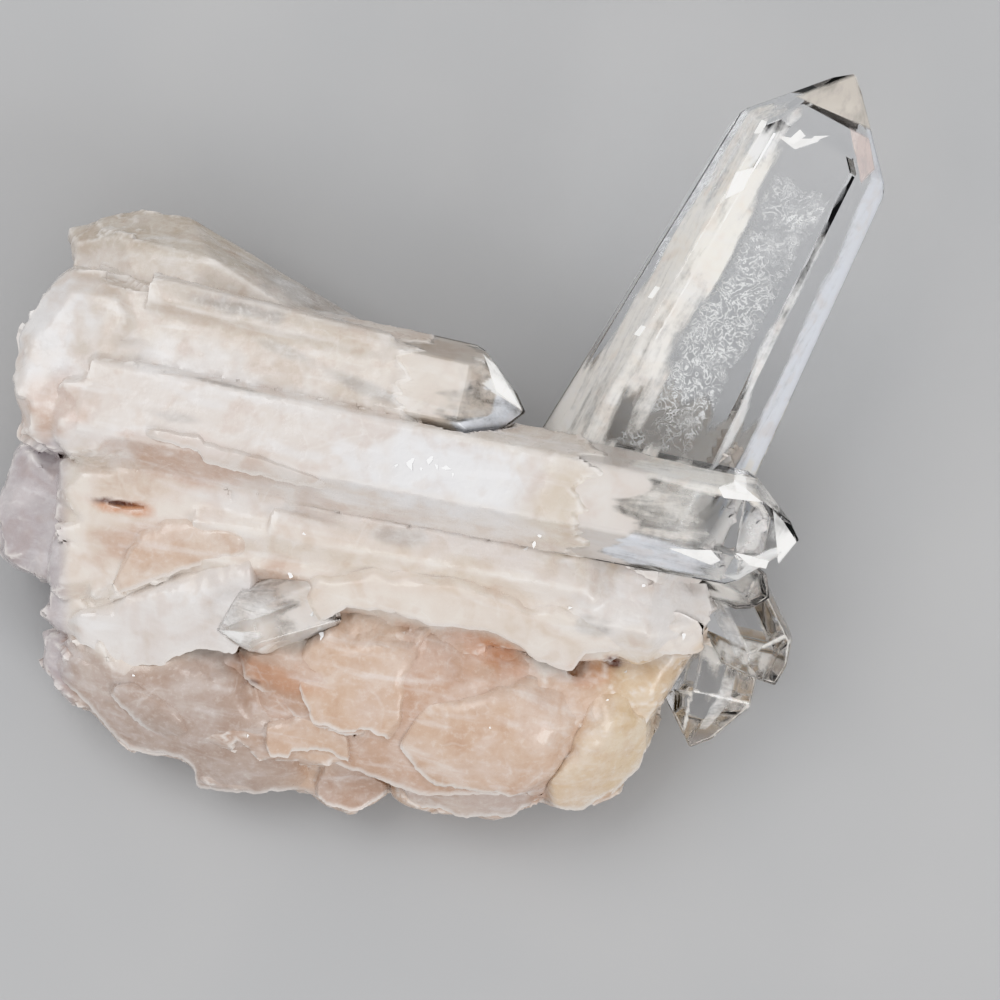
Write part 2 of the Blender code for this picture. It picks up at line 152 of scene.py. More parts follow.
# The plates that lie on the body, low ones first: tint, height over the body, upper and lower edge as seen
PLATES = {
    "left_main": (GREY_ROSE, 0.1,
      ((4.4, 66.6), (8, 64.5), (14, 65.5), (20, 65), (24, 66), (29, 71), (31.3, 79)),
      ((4.4, 66.8), (5.8, 67.6), (8.3, 69.9), (10.1, 72), (12.9, 74.9), (18.1, 75.7), (19.5, 77),
       (20, 78.8), (24.2, 79.3), (31.3, 79))),
    "centre_main": (ROSE, 0.1,
      ((24.5, 68), (32, 62.5), (42, 62), (50, 64.5), (56, 68.5), (58, 74)),
      ((24.5, 68), (27, 73), (34, 76.5), (42, 79.5), (50, 79.5), (58, 74))),
    "toe_strip": (GREY_ROSE, 0.3,
      ((39.2, 78.7), (40, 77), (44, 77.5), (52, 78.5), (54.1, 79.7)),
      ((39.2, 78.7), (41.5, 80.6), (44.1, 80.9), (46.7, 81.8), (51.1, 81.6), (52.3, 80.9), (53.5, 80.3),
       (54.1, 79.7))),
    "bottom_lobe": (DUSKY_ROSE, 0.3,
      ((31, 78.8), (32.5, 77), (36, 76.5), (39.2, 78.8)),
      ((31, 78.8), (32.7, 80.4), (35.3, 81), (37, 80.5), (39.2, 78.8))),
    "left_wall": (GREY_ROSE, 0.2,
      ((8.3, 69.9), (11.3, 69.4), (13.6, 72), (15.7, 73.7), (18.6, 74.4), (19.5, 76.6)),
      ((8.3, 69.9), (10.1, 72), (12.9, 74.9), (14.8, 75.3), (18.1, 75.7), (19.5, 77))),
    "left_petal": (GREY_ROSE, 0.6,
      ((10.4, 68.8), (14, 68), (17.6, 70.4), (19.8, 73), (18.6, 74.6)),
      ((10.4, 68.8), (13.6, 72.1), (15.7, 73.8), (18.6, 74.6))),
    "ledge": (PALE_ROSE, 0.7,
      ((26.2, 73.5), (26.8, 72.2), (30, 71.6), (34.5, 72.8), (35, 74.5)),
      ((26.2, 73.5), (27.2, 75.8), (28.9, 75.7), (29.2, 75.1), (31.3, 75.1), (33, 75.2), (34.8, 76.1),
       (35, 74.5))),
    "centre_low": (ROSE, 0.6,
      ((23.6, 65), (28.5, 65), (34, 67), (38, 70), (37.2, 73.2)),
      ((23.6, 65), (24.1, 66.4), (24.5, 67.8), (26.6, 69.4), (28.5, 71.1), (30.8, 72.5), (34.6, 73.5),
       (37.2, 73.2))),
    "centre_high": (PALE_ROSE, 1,
      ((28.5, 66.4), (32, 62.5), (34.8, 60.8), (40, 61.7), (44, 63.2), (43, 68), (41.2, 71.2),
       (39.9, 74.8)),
      ((28.5, 66.4), (29.7, 68.3), (30.6, 70.6), (31.3, 72.2), (34.4, 73.1), (37, 73), (38.5, 73.8),
       (39.9, 74.8))),
    "big_plate": (PALE_ROSE, 1,
      ((40.4, 72.2), (41.2, 71.2), (44, 69), (48, 67.6), (53, 66.8), (57.5, 68), (59.8, 71.2),
       (59.2, 74.8), (56, 78), (54.1, 79.7)),
      ((40.4, 72.2), (40.1, 74.6), (41.5, 76.8), (43.4, 78.4), (45.7, 78.8), (48.8, 79.2), (51.1, 79.6),
       (52.6, 79.3), (54.1, 79.7))),
    "right_plate": (CREAM, 0.8,
      ((54.1, 79.7), (54.8, 77), (57, 73.5), (59.8, 70.6), (62.5, 70), (64.8, 71.2), (65.6, 73.2)),
      ((54.1, 79.7), (55.9, 80.9), (58.2, 80.9), (59.6, 80), (61.5, 79.1), (62.7, 77.9), (63.9, 76.7),
       (64.3, 75.5), (64.9, 74.3), (65.6, 73.2))),
    "rose_facet": (PALE_ROSE, 0.3,
      ((10.5, 60), (11.8, 56), (13.2, 52.4), (16, 51.9), (22.5, 52.5), (24.6, 53.8), (25.7, 55.2)),
      ((10.5, 60), (14, 58.6), (18, 57.1), (22.5, 55.8), (25.7, 55.2))),
    "white_lens": (PALE_LENS, 0.5,
      ((5.5, 62.7), (8, 60.4), (11, 59.7), (14, 58.4), (18, 56.9), (22.5, 55.6), (25, 55.6), (26.2, 59)),
      ((5.5, 62.7), (6.6, 63.2), (8.5, 64.5), (10.8, 65.7), (13.1, 66.5), (16.2, 66.6), (17.6, 65.6),
       (20, 65), (23.6, 65.3), (26.2, 59))),
    "low_ridge": (RIDGE_MILK, 0.5,
      ((28.5, 66.4), (27.5, 61), (30, 57.5), (40, 57), (50, 59.5), (60, 62), (68, 61.5), (70.5, 62.5)),
      ((28.5, 66.4), (30, 64.2), (33, 61.8), (34.8, 60.7), (37, 61), (39.8, 61.4), (42.4, 62.4),
       (45.7, 62.7), (49.3, 63.3), (51.9, 64.4), (53, 65.7), (55.6, 66.8), (57.3, 67.1), (58.5, 65.4),
       (59.6, 65.1), (62.9, 65.2), (66.5, 65.4), (68.4, 65.5), (70.3, 65), (70.5, 62.5))),
    "ledge_strip": (MILK_WHITE, 0.5,
      ((12.8, 43), (14.5, 42.7), (20, 44), (20.4, 44.9), (29, 47.1), (34, 48.4)),
      ((12.8, 43.8), (15, 43.8), (19.8, 45.2), (20.4, 46.2), (28.8, 48.4), (34, 49.2))),
}

# Painted reflections inside each clear point, glowing sheets for light thrown back from inside: depth under
# its face, tint, strength at the near and the far edge, and four seen corners, going round
# Tints of the painted reflections; the pearl white also marks painted reflections in the milk windows
REFLECTION_PEARL = (0.95, 0.94, 0.92)
REFLECTION_BEIGE = (0.60, 0.56, 0.51)
REFLECTION_PINKISH = (0.66, 0.58, 0.55)
PAINTED_REFLECTIONS = {
    "tall_point": (
      (0.12, REFLECTION_BEIGE, (0.7, 0.8), ((79.4, 9.7), (85.6, 7.2), (87.2, 13.2), (83.3, 11.3))),
      (0.2, REFLECTION_PINKISH, (0.85, 0.75), ((84.9, 12.7), (86.8, 13.8), (87.4, 17), (86, 18.5))),
      (1.2, REFLECTION_PEARL, (0.9, 0.7), ((77.5, 13.4), (79.5, 13.9), (83, 13.8), (79.5, 15))),
      (0.12, REFLECTION_PEARL, (0.9, 0.8), ((75.4, 13.4), (76.2, 12), (76.8, 12.2), (76, 13.4))),
      (0.12, REFLECTION_PEARL, (0.95, 0.95), ((64.8, 29.8), (65.6, 28.6), (66.1, 28.8), (65.3, 29.9))),
      (0.12, REFLECTION_PEARL, (0.95, 0.95), ((63.4, 33.5), (64.2, 32.5), (64.7, 32.7), (64, 33.7))),
      (0.12, REFLECTION_PEARL, (0.9, 0.75), ((72.4, 20), (73.6, 17.2), (75.4, 16.7), (74.4, 19))),
      (0.12, REFLECTION_PEARL, (0.8, 0.9), ((78.6, 14.2), (80, 12.9), (80.6, 13.6), (79.4, 14.4)))),
    "long_point": (
      (0.12, REFLECTION_PEARL, (0.9, 0.95), ((71.8, 48.8), (73.5, 48.1), (76.4, 50.3), (72.3, 49.8))),
      (0.2, REFLECTION_PEARL, (0.45, 0.75), ((77.2, 50.8), (78.2, 52), (79.7, 54.2), (77.8, 56.6))),
      (0.12, REFLECTION_PEARL, (0.95, 0.9), ((66.6, 54.7), (71.2, 55), (72.1, 56), (71.2, 56.5))),
      (0.12, REFLECTION_PEARL, (0.9, 0.9), ((73.3, 55.2), (77, 56), (76.6, 56.9), (75, 56.5)))),
    "upper_point": (
      (0.2, REFLECTION_PEARL, (0.9, 0.95), ((48.2, 35.4), (49.4, 36.4), (52.3, 41.2), (49.6, 39.2))),
      (0.3, REFLECTION_PEARL, (0.8, 0.6), ((47.4, 35.3), (48.4, 35.5), (48.4, 37.6), (47.2, 37.3)))),
}
# Milk just under a clear point's faces: strength of the painted light along its edges, then soft windows of
# milk.
# Each window: angle round the axis, half width, start and end along the axis, strength, tint. Angles are in
# degrees from the point's own side, and 90 faces up. Windows in pearl white are painted reflections.
WARM_MILK = (0.94, 0.90, 0.84)
COLD_MILK = (0.92, 0.94, 0.98)
CREAMY = (0.98, 0.945, 0.88)
SEAM_MILK = (0.79, 0.735, 0.685)
UPPER_SEAM = (0.64, 0.565, 0.49)
INNER_MILK = {
    "tall_point": (0, (
      (149, 25, 5, 20, 0.75, WARM_MILK), (144, 28, 16, 30, 0.80, WARM_MILK),
      (141, 31, 26, 36, 0.9, CREAMY), (134, 17, 33, 41.5, 0.85, CREAMY), (133, 8, 40, 46, 0.9, REFLECTION_PEARL),
      (152, 20, 36, 47, 0.66, CREAMY), (14, 15, 4, 49, 0.85, COLD_MILK), (4, 8, 6, 49, 1.05, COLD_MILK),
      (51, 2.2, 6, 28, 0.95, REFLECTION_PEARL), (52, 1.8, 26, 49, 0.8, REFLECTION_PEARL), (129, 2.5, 38, 48, 0.8, REFLECTION_PEARL),
      (112, 9, 12, 18, 0.58, WARM_MILK), (30, 180, 1, 9, 1, WARM_MILK),
      (275, 105, 1, 14, 1.3, WARM_MILK), (210, 16, 5, 30, 0.5, WARM_MILK))),
    "long_point": (0.4, (
      (0, 181, 46, 54, 1.3, SEAM_MILK), (150, 24, 50, 66, 0.85, CREAMY),
      (34, 28, 50, 64, 0.8, COLD_MILK), (94, 32, 52, 61, 0.58, WARM_MILK),
      (270, 80, 50, 61, 0.9, WARM_MILK), (25, 30, 66.5, 72, 1, REFLECTION_PEARL),
      (330, 26, 60, 72, 0.8, COLD_MILK), (94, 30, 66, 72, 0.4, REFLECTION_PEARL))),
    "upper_point": (0.4, (
      (0, 181, 29, 37, 1.3, UPPER_SEAM), (150, 30, 33, 42, 0.75, UPPER_SEAM),
      (36, 28, 34, 45, 0.85, COLD_MILK), (96, 32, 35, 42, 0.72, UPPER_SEAM),
      (270, 90, 33, 44, 0.95, WARM_MILK), (155, 38, 39, 46, 1.1, REFLECTION_PEARL),
      (70, 60, 40, 46, 0.75, COLD_MILK))),
    "twin_point": (0.9, ((0, 181, 0, 2.5, 1, WARM_MILK), (60, 14, 4, 8, 0.6, REFLECTION_PEARL))),
    "low_point": (0.9, ((0, 181, 0, 2, 1, WARM_MILK), (120, 12, 4, 8, 0.6, REFLECTION_PEARL))),
    "side_point": (0.9, ((0, 181, 0, 2.5, 1, WARM_MILK),)),
    "nub_point": (0.5, (
      (0, 181, -1, 4.5, 1, SEAM_MILK), (50, 40, 4, 12, 0.6, REFLECTION_PEARL), (150, 30, 8, 12, 0.8, REFLECTION_PEARL))),
}
# How deep the hulls lie under the faces, and how wide their painted edge light is
HULL_DEPTH, EDGE_WIDTH = 0.22, 0.2
# Chips that catch the light: which way they face, how small they are made, and each one's seen place and size
GLINT_FACE, GLINT_SHRINK = (-0.23, 0.29, 0.93), 0.75
GLINTS = (
    (29, 57.5, 0.5), (31.2, 61.4, 0.45), (32.2, 63.6, 0.6), (41, 46.4, 0.8), (43, 46, 0.75),
    (44.6, 46.8, 0.55), (53.4, 54.4, 0.5), (52.6, 54.9, 0.4), (68.4, 63.6, 0.5), (66.8, 55.2, 0.4),
    (42.1, 46.9, 0.3), (43.7, 46.7, 0.35), (62.6, 67.2, 0.3), (60.8, 70, 0.25), (24.8, 73.6, 0.22),
    (49, 72.8, 0.2), (13.4, 67.6, 0.22), (30.4, 53.4, 0.25), (57, 60.8, 0.3), (64.4, 58.6, 0.35),
    (45.3, 47.5, 0.25), (39.6, 46.6, 0.25), (54, 53.6, 0.3))
# The net-like crack in the tall point: its seen corners, and how deep it lies
NET_CORNERS, NET_UNDER = ((61.5, 44.2), (77.6, 17), (83.2, 19.8), (69, 45.6)), 1.6
# The floor's two tints, the sky's tint and strength, and the lamps: place in metres, size, power
PAPER_TINTS = ((0.50, 0.505, 0.51), (0.53, 0.53, 0.53))
SKY_TINT, SKY_STRENGTH = (0.68, 0.68, 0.69, 1), 0.95
LAMPS = {"window": ((-0.3, 0.3, 0.65), 0.45, 1.95), "fill": ((0.45, -0.5, 0.5), 0.35, 1.85)}


def smooth(low, high, value):
    """0 below low, 1 above high, with an S-shaped rise between."""
    share = np.clip((value - low) / (high - low), 0, 1)
    return share * share * (3 - 2 * share)


def lattice(cells, seed):
    """A repeatable number from 0 to 1 for each whole-number lattice cell, by multiplying and mixing bits."""
    whole = cells.astype(np.int64)
    mixed = whole[..., 0] * 73856093 ^ whole[..., 1] * 19349663 ^ whole[..., 2] * 83492791 ^ seed * 40503
    mixed = (mixed ^ (mixed >> 13)) * 1274126177
    mixed = (mixed ^ (mixed >> 16)) * 668265263
    return ((mixed ^ (mixed >> 15)) & 0xFFFFFF) / 0xFFFFFF


def cloud(points, size, seed, octaves=3):
    """Soft noise, about -1 to 1: lattice numbers blended over each cell, in octaves half as wide and high."""
    total, height = np.zeros(len(points)), 1.0
    for octave in range(octaves):
        place = points / size * 2**octave
        base = np.floor(place)
        part = place - base
        part = part * part * (3 - 2 * part)
        for corner in itertools.product((0, 1), repeat=3):
            corner = np.array(corner)
            weight = np.prod(np.where(corner, part, 1 - part), axis=1)
            total += height * weight * (2 * lattice(base + corner, seed + octave) - 1)
        height /= 2
    return total


def broken_facets(points, size, seed):
    """Height of broken facets: round each jittered cell centre the surface is a plane with its own tilt."""
    place = points / size
    base = np.floor(place)
    nearest = np.full(len(points), np.inf)
    height = np.zeros(len(points))
    for corner in itertools.product((-1, 0, 1), repeat=3):
        cell = base + np.array(corner)
        away = np.stack([place[:, k] - cell[:, k] - lattice(cell, seed + k) for k in range(3)], 1)
        tilt = np.stack([2 * lattice(cell, seed + 7 + k) - 1 for k in range(3)], 1)
        distance = (away**2).sum(1)
        closer = distance < nearest
        height = np.where(closer, (away * tilt).sum(1), height)
        nearest = np.where(closer, distance, nearest)
    return height


def spots(points, table):
    """Soft oval patches: 1 in the middle of each turned oval, falling to 0 at its rim, the strongest kept."""
    total = np.zeros(len(points))
    wobble = 0.35 * cloud(points, 1.6, 71, 2)
    for x, y, long, wide, turn, strength in table:
        angle = math.radians(turn)
        dx, dy = points[:, 0] - x, points[:, 1] - y
        across = (dx * math.cos(angle) + dy * math.sin(angle)) / long
        beside = (dy * math.cos(angle) - dx * math.sin(angle)) / wide
        total = np.maximum(total, strength * smooth(1.25, 0.45, np.hypot(across, beside) + wobble))
    return total


def blend(low, high, share):
    """From one value to another, by a share at each place."""
    return low + (np.asarray(high) - low) * share[:, None]


def axes_of(name):
    """A point's own directions: along its axis, to its side, and up."""
    along = np.subtract(POINTS[name][1], POINTS[name][0])
    along /= np.linalg.norm(along)
    side = np.cross(along, (0, 0, 1))
    side /= np.linalg.norm(side)
    return along, side, np.cross(side, along)


def point_planes(name, grow=0.0):
    """Planes of a quartz point: six leaning prism faces, then six crown faces meeting near the apex."""
    root, apex, top_reach, reach, turn, taper = POINTS[name]
    along, side, up = axes_of(name)
    lean, tip = math.radians(taper), math.radians(CROWN_LEAN)
    angle = np.radians(90 + turn + 60 * np.arange(6))[:, None]
    out = np.cos(angle) * side + np.sin(angle) * up
    prism = math.cos(lean) * out + math.sin(lean) * along
    crown = math.cos(tip) * out + math.sin(tip) * along
    shoulder = np.array(apex) - along * reach / math.tan(tip)
    far = np.array([top_reach] + [reach] * 5)[:, None]
    setback = np.arange(6) % 2 * MINOR_SETBACK
    distances = np.concatenate([(prism * (shoulder + far * out)).sum(1), crown @ np.array(apex) + setback])
    return np.concatenate([prism, crown]), distances + grow


def solid_corners(normals, distances):
    """Corners of the solid behind all the planes: each meeting point of three that is behind the rest."""
    triples = np.array(list(itertools.combinations(range(len(normals)), 3)))
    rows, far = normals[triples], distances[triples]
    open_three = np.abs(np.linalg.det(rows)) > 1e-6
    corners = np.linalg.solve(rows[open_three], far[open_three][..., None])[..., 0]
    return corners[(corners @ normals.T <= distances + 1e-6).all(1)]


def clear_corners(name, start, grow=0.0):
    """Corners of a point from a distance along its axis to its apex."""
    normals, distances = point_planes(name, grow)
    along = axes_of(name)[0]
    cut = -(along @ np.array(POINTS[name][0]) + start)
    return solid_corners(np.vstack([normals, -along]), np.append(distances, cut))


def new_object(name, mesh):
    made = bpy.data.objects.new(name, mesh)
    bpy.context.scene.collection.objects.link(made)
    return made


def convex_piece(name, corners):
    """A closed flat-faced solid round the corners."""
    shape = bmesh.new()
    for corner in corners:
        shape.verts.new(Vector(corner) * MM)
    bmesh.ops.remove_doubles(shape, verts=shape.verts, dist=0.02 * MM)
    bmesh.ops.convex_hull(shape, input=shape.verts)
    inside = [vertex for vertex in shape.verts if not vertex.link_faces]
    bmesh.ops.delete(shape, geom=inside, context="VERTS")
    bmesh.ops.dissolve_limit(shape, angle_limit=math.radians(0.5), verts=shape.verts, edges=shape.edges)
    bmesh.ops.recalc_face_normals(shape, faces=shape.faces)
    mesh = bpy.data.meshes.new(name)
    shape.to_mesh(mesh)
    shape.free()
    return new_object(name, mesh)


def add_modifier(piece, kind, **settings):
    step = piece.modifiers.new(kind.lower(), kind)
    for key, value in settings.items():
        setattr(step, key, value)
    return step


def settle(piece):
    """Work the piece's modifiers into its mesh."""
    depsgraph = bpy.context.evaluated_depsgraph_get()
    mesh = bpy.data.meshes.new_from_object(piece.evaluated_get(depsgraph))
    piece.modifiers.clear()
    piece.data = mesh


def coordinates(mesh, what="co"):
    flat = np.empty(3 * len(mesh.vertices))
    mesh.vertices.foreach_get(what, flat)
    return flat.reshape(-1, 3)


def put_back(mesh, points):
    mesh.vertices.foreach_set("co", (points * MM).ravel())
    mesh.update()


def store(mesh, name, values):
    """Keep a number or a colour for each corner point of the mesh, for its finish to read."""
    if values.ndim == 1:
        mesh.attributes.new(name, "FLOAT", "POINT").data.foreach_set("value", values.astype(np.float32))
        return
    colours = np.column_stack([values, np.ones(len(values))]).astype(np.float32)
    mesh.attributes.new(name, "FLOAT_COLOR", "POINT").data.foreach_set("color", colours.ravel())


def joined(name, parts, fields=()):
    """Parts in one piece. Each part holds its points, its faces, and its values for each of the fields."""
    faces, start = [], 0
    for part in parts:
        faces += [[int(corner) + start for corner in face] for face in part[1]]
        start += len(part[0])
    mesh = bpy.data.meshes.new(name)
    mesh.from_pydata(np.concatenate([part[0] for part in parts]) * MM, [], faces)
    for index, field in enumerate(fields):
        store(mesh, field, np.concatenate([part[2 + index] for part in parts]))
    return new_object(name, mesh)


def grid(across, along):
    """The two numbers of each place of a grid, row after row."""
    first, second = np.meshgrid(across, along, indexing="ij")
    return first.ravel(), second.ravel()


def grid_faces(index):
    """Four-cornered faces between the places of a grid, given their numbers."""
    return np.stack([index[:-1, :-1], index[1:, :-1], index[1:, 1:], index[:-1, 1:]], -1).reshape(-1, 4)


def mass_mesh():
    """The CAD solid without its clear points, remade as an even fine net."""
    body = new_object("milky_mass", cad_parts[NODE].data.copy())
    close_ends(body, 0.002)
    cutters = []
    for name, start in MILK_TO.items():
        cutter = convex_piece(name + "_seat", clear_corners(name, start, SEAT_GAP))
        add_modifier(body, "BOOLEAN", operation="DIFFERENCE", solver="EXACT", object=cutter)
        cutters.append(cutter)
    settle(body)
    for cutter in cutters:
        bpy.data.objects.remove(cutter)
    add_modifier(body, "REMESH", mode="SHARP", octree_depth=NET_DEPTH, scale=NET_SCALE, sharpness=1.0)
    settle(body)
    return body


def below_rim(points):
    """How far a place lies below the milky body's lower rim, in plan."""
    return np.interp(points[:, 0], RIM_X, RIM_Y) - points[:, 1]


def depth_in(name, points):
    """How far a place lies inside a point's planes, and how far along its axis."""
    normals, distances = point_planes(name)
    return (distances - points @ normals.T).min(1), (points - POINTS[name][0]) @ axes_of(name)[0]


def seat_walls(points):
    """1 on the walls of the clear crystals' seats, 0 away from them."""
    total = np.zeros(len(points))
    for name, start in MILK_TO.items():
        depth, run = depth_in(name, points)
        total = np.maximum(total, smooth(0.3, 0.1, np.abs(depth)) * smooth(start - 0.1, start + 0.3, run))
    return total


def skin_depth(points):
    """How far the milk lies under the clear skin. It first laps over the skin's start, in ragged tongues."""
    total, near_any = np.zeros(len(points)), np.zeros(len(points))
    for index, name in enumerate(("tall_point", "long_point", "upper_point")):
        depth, run = depth_in(name, points)
        flat = (points - POINTS[name][0]) @ np.array(axes_of(name)).T / (5.0, 1.0, 1.0)
        tongue = CLEAR_FROM[name] + 0.8 + LAP_TONGUE * smooth(-0.8, 0.8, cloud(flat, 1.3, 91 + index, 2))
        near = smooth(-0.35, -0.1, depth) * smooth(CLEAR_FROM[name] - 1.2, CLEAR_FROM[name] - 0.5, run)
        sunk = smooth(tongue, tongue + 1.4, run)
        deep = SKIN + SKIN_SLOPE * np.clip(run - tongue, 0, 4)
        total = np.where(near > 0.01, near * (sunk * deep - (1 - sunk) * LAP), total)
        near_any = np.maximum(near_any, near)
    return total, near_any


def neighbour_middles(mesh, points):
    """For each place, the middle of its neighbours along the mesh's edges."""
    edges = np.empty(2 * len(mesh.edges), np.int64)
    mesh.edges.foreach_get("vertices", edges)
    first, second = edges.reshape(-1, 2).T
    ends, others = np.append(first, second), np.append(second, first)
    count = np.maximum(np.bincount(ends, minlength=len(points)), 1)
    return np.column_stack([np.bincount(ends, points[others, k], len(points)) / count for k in range(3)])


def edge_turn(mesh, points):
    """How far each place stands out from its neighbours' middle: edges above 0, creases below."""
    return ((points - neighbour_middles(mesh, points)) * coordinates(mesh, "normal")).sum(1)


def relax(mesh, points, share, rounds):
    """Draw places towards the middle of their neighbours, which rounds edges off."""
    for _ in range(rounds):
        points = points + share[:, None] * (neighbour_middles(mesh, points) - points)
    return points


def shape_mass(body):
    """Break and ripple the surface: facets and ledges on the rose mass, growth lines on the milky points.

    Each place moves along its normal, by the facets where rough and by fine lines elsewhere.
    """
    mesh = body.data
    points = coordinates(mesh) / MM
    rose = smooth(-0.5, 1.2, below_rim(points) + 0.6 * cloud(points, 2.5, 5))
    loose = seat_walls(points) < 0.01
    soft = smooth(0.5, 2.0, below_rim(points)) * smooth(0.3, 1.5, points[:, 2]) * loose
    points = relax(mesh, points, 0.5 * loose * (points[:, 2] > 0.4), 3)
    points = relax(mesh, points, 0.7 * soft, 10)
    put_back(mesh, points)
    normals = coordinates(mesh, "normal")
    left = smooth(-24.0, -30.0, points[:, 0] + 2 * cloud(points, 4.0, 9))
    steep = smooth(0.75, 0.45, np.abs(normals[:, 2]))
    rough = np.clip(rose + 0.7 * left * steep, 0, 1)
    big = broken_facets(points * (1, 1, 0.7), BIG_FACET, 21)
    small = broken_facets(points, SMALL_FACET, 43)
    drawn_out = np.column_stack([points @ LINES_ALONG / 20, points @ LINES_ACROSS, points[:, 2]])
    lines = cloud(drawn_out, 0.9, 61, 2)
    height = rough * ((0.2 + 0.6 * steep) * big + (0.06 + 0.18 * steep) * small)
    height += (1 - rough) * (0.03 * lines + 0.04 * steep * broken_facets(points * (0.35, 1, 1), 3.5, 83))
    height = np.clip(height, -1.1, 0.6)
    skin, near = skin_depth(points)
    seat = seat_walls(points)
    height = height * (1 - near) * (1 - seat) - skin + SEAT_GROWTH * seat
    floor = smooth(0.2, 1.2, points[:, 2])
    points = points + normals * (height * floor)[:, None]
    points[:, 2] = np.maximum(points[:, 2], 0)
    put_back(mesh, points)
    return points, rose


def zone_tint(points, rose):
    """Zones of colour: milky and cool white above, rose and cream below, lilac-grey at the left."""
    drift = cloud(points, 7.0, 3)
    drawn_out = np.column_stack([points @ ALONG / 5, points @ ACROSS, points[:, 2]])
    wisps = smooth(0, 0.9, cloud(drawn_out, 1.5, 13))
    cool = spots(points, COOL_ZONES)
    tint = blend(MILK_WHITE, COOL_WHITE, np.maximum(cool, 0.45 * wisps))
    tint = blend(tint, BEIGE_MILK, spots(points, BEIGE_ZONES))
    uphill = points @ UPHILL + drift
    tint = blend(tint, UPPER_MILK, 0.75 * smooth(0.5, 4, uphill) * (1 - cool))
    tint = blend(tint, RIDGE_MILK, 0.7 * smooth(-8, -11, uphill) * (1 - cool))
    tint = blend(tint, BACK_GREY, 0.8 * smooth(0, 2, points @ UPHILL - 12.2))
    rosy = blend(PALE_ROSE, ROSE, smooth(-0.5, 0.9, cloud(points, 5.0, 29)))
    rosy = blend(rosy, GREY_ROSE, 0.8 * smooth(-12, -22, points[:, 0] + 3 * drift))
    rosy = blend(rosy, CREAM, 0.75 * smooth(14, 20, points[:, 0] + 2 * drift))
    tint = blend(tint, rosy, rose)
    tint = blend(tint, ROSE, spots(points, ROSY_ZONES))
    lump = smooth(-36.2, -38.0, points[:, 0]) * smooth(1.5, 0.5, points[:, 1])
    return blend(tint, LILAC_GREY, 0.85 * lump)


def tint_mass(body, points, rose):
    """Store the body's tints, with painted shade in the rose mass's creases and painted highlights on its
    edges.
    """
    turn = edge_turn(body.data, points)
    # Painted shade: the rose mass's creases take a deeper rose
    tint = blend(zone_tint(points, rose), ROSE, 0.45 * rose * smooth(-0.02, -0.12, turn))
    store(body.data, "tint", stained(tint, points))
    # Painted highlight: how strongly each convex edge is made pale
    store(body.data, "rim", smooth(0.015, 0.08, turn))


def stained(tint, points):
    """Smoky windows, rust, dark iron spots and a darkened pit over a tint."""
    tint = blend(tint, SMOKE, spots(points, SMOKE_PATCHES))
    tint = blend(tint, RUST, spots(points, RUST_STAINS))
    return blend(tint, DARK_RUST, spots(points, DARK_STAINS))


def height_map(*bodies, cell=0.7):
    """The bodies' highest point over each square of a plan grid."""
    points = np.concatenate([coordinates(body.data) for body in bodies]) / MM
    corner = points.min(0)[:2] - cell
    index = ((points[:, :2] - corner) / cell).astype(int)
    heights = np.zeros(index.max(0) + 3)
    np.maximum.at(heights, (index[:, 0], index[:, 1]), points[:, 2])
    return heights, corner, cell


def height_at(terrain, plan):
    heights, corner, cell = terrain
    index = np.clip(((plan - corner) / cell).astype(int), 0, np.array(heights.shape) - 1)
    return heights[index[:, 0], index[:, 1]]


def along_edge(edge, share):
    """Places along a run of straight stretches, at shares of its whole length."""
    edge = np.array(edge, float)
    length = np.concatenate([[0], np.cumsum(np.hypot(*np.diff(edge, axis=0).T))])
    return np.column_stack([np.interp(share * length[-1], length, edge[:, k]) for k in (0, 1)])


def seen_at(seen, height):
    """Plan places of points seen in the eye's picture, at their heights."""
    shrink = (1 - (height - EYE_TARGET[2]) / EYE_DISTANCE)[:, None]
    away = np.column_stack([seen[:, 0] - HALF_VIEW, HALF_VIEW - seen[:, 1]])
    return away * shrink + EYE_TARGET[:2]


